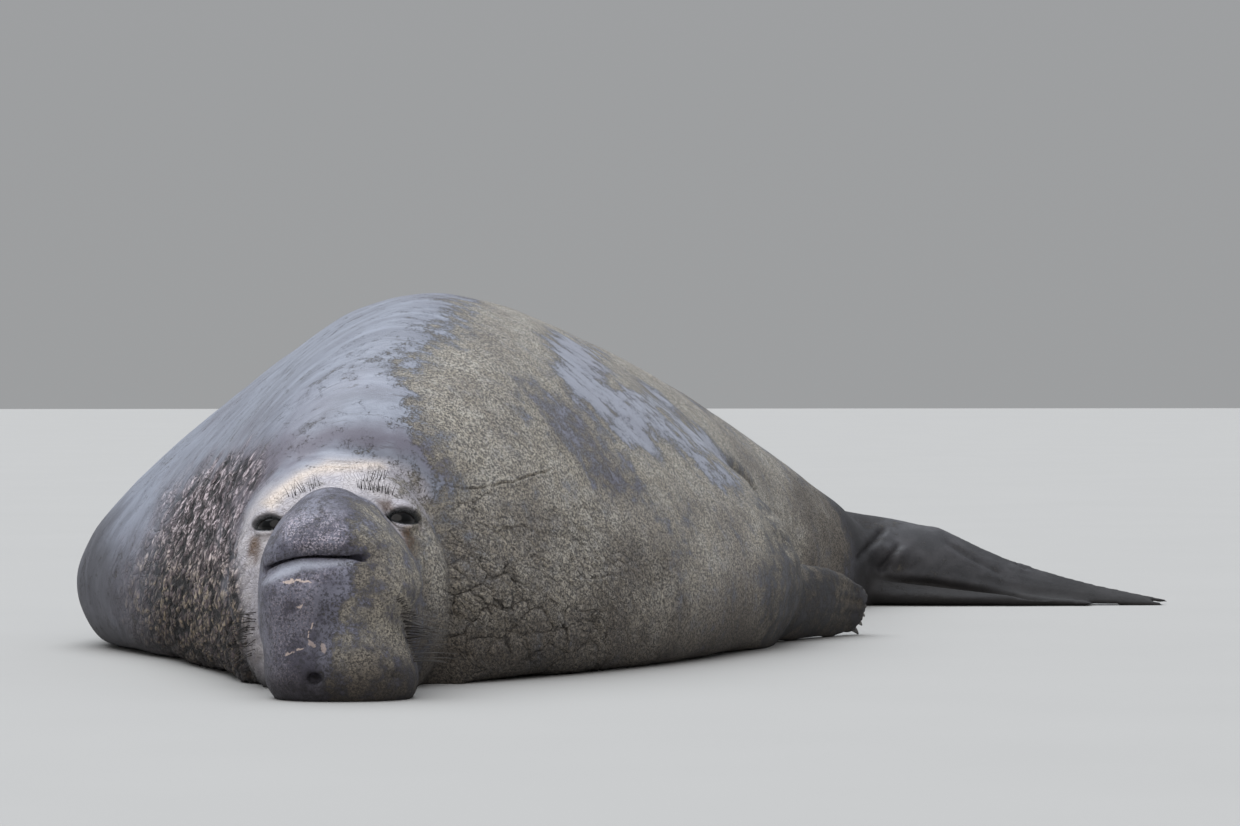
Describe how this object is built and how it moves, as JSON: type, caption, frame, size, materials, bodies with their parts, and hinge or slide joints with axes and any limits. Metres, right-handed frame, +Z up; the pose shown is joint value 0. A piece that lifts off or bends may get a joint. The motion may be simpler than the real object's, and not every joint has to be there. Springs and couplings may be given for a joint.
{
  "type": "elephant seal",
  "caption": "Life-size still model of a bull elephant seal lying on its belly, its trunk resting on the ground and its body curved round to its left.",
  "frame": {"origin": "on the ground, under the middle of the whole animal's box", "axes": "+Z up; the face looks along -Y; +X is the animal's left, the side to which its hind end curves"},
  "size_m": [2.6054, 3.2648, 0.7417],
  "materials": {
    "hide": "short flat fur under a thin coat of dry sand, wet and smooth on the animal's right",
    "face": "pale bare-looking skin with fine creases, brown below the eyes",
    "trunk": "half damp slate hide with pink flecks and scars, half dusted with sand",
    "flipper": "dark, smooth, damp hide",
    "claw": "dark worn horn",
    "eye": "wet and glossy, nearly black"
  },
  "bodies": {
    "root": {"head": "face", "lower_jaw": "face", "proboscis": "trunk", "eye_left": "eye", "eye_right": "eye", "neck": "hide", "chest": "hide", "torso": "hide", "hips": "hide", "tail": "hide", "fore_flipper_left": "flipper", "fore_flipper_right": "flipper", "hind_flipper_left": "flipper", "hind_flipper_right": "flipper", "claw_left_1": "claw", "claw_left_2": "claw", "claw_left_3": "claw", "claw_left_4": "claw", "claw_left_5": "claw", "claw_right_1": "claw", "claw_right_2": "claw", "claw_right_3": "claw", "claw_right_4": "claw", "claw_right_5": "claw"}
  },
  "joints": []
}
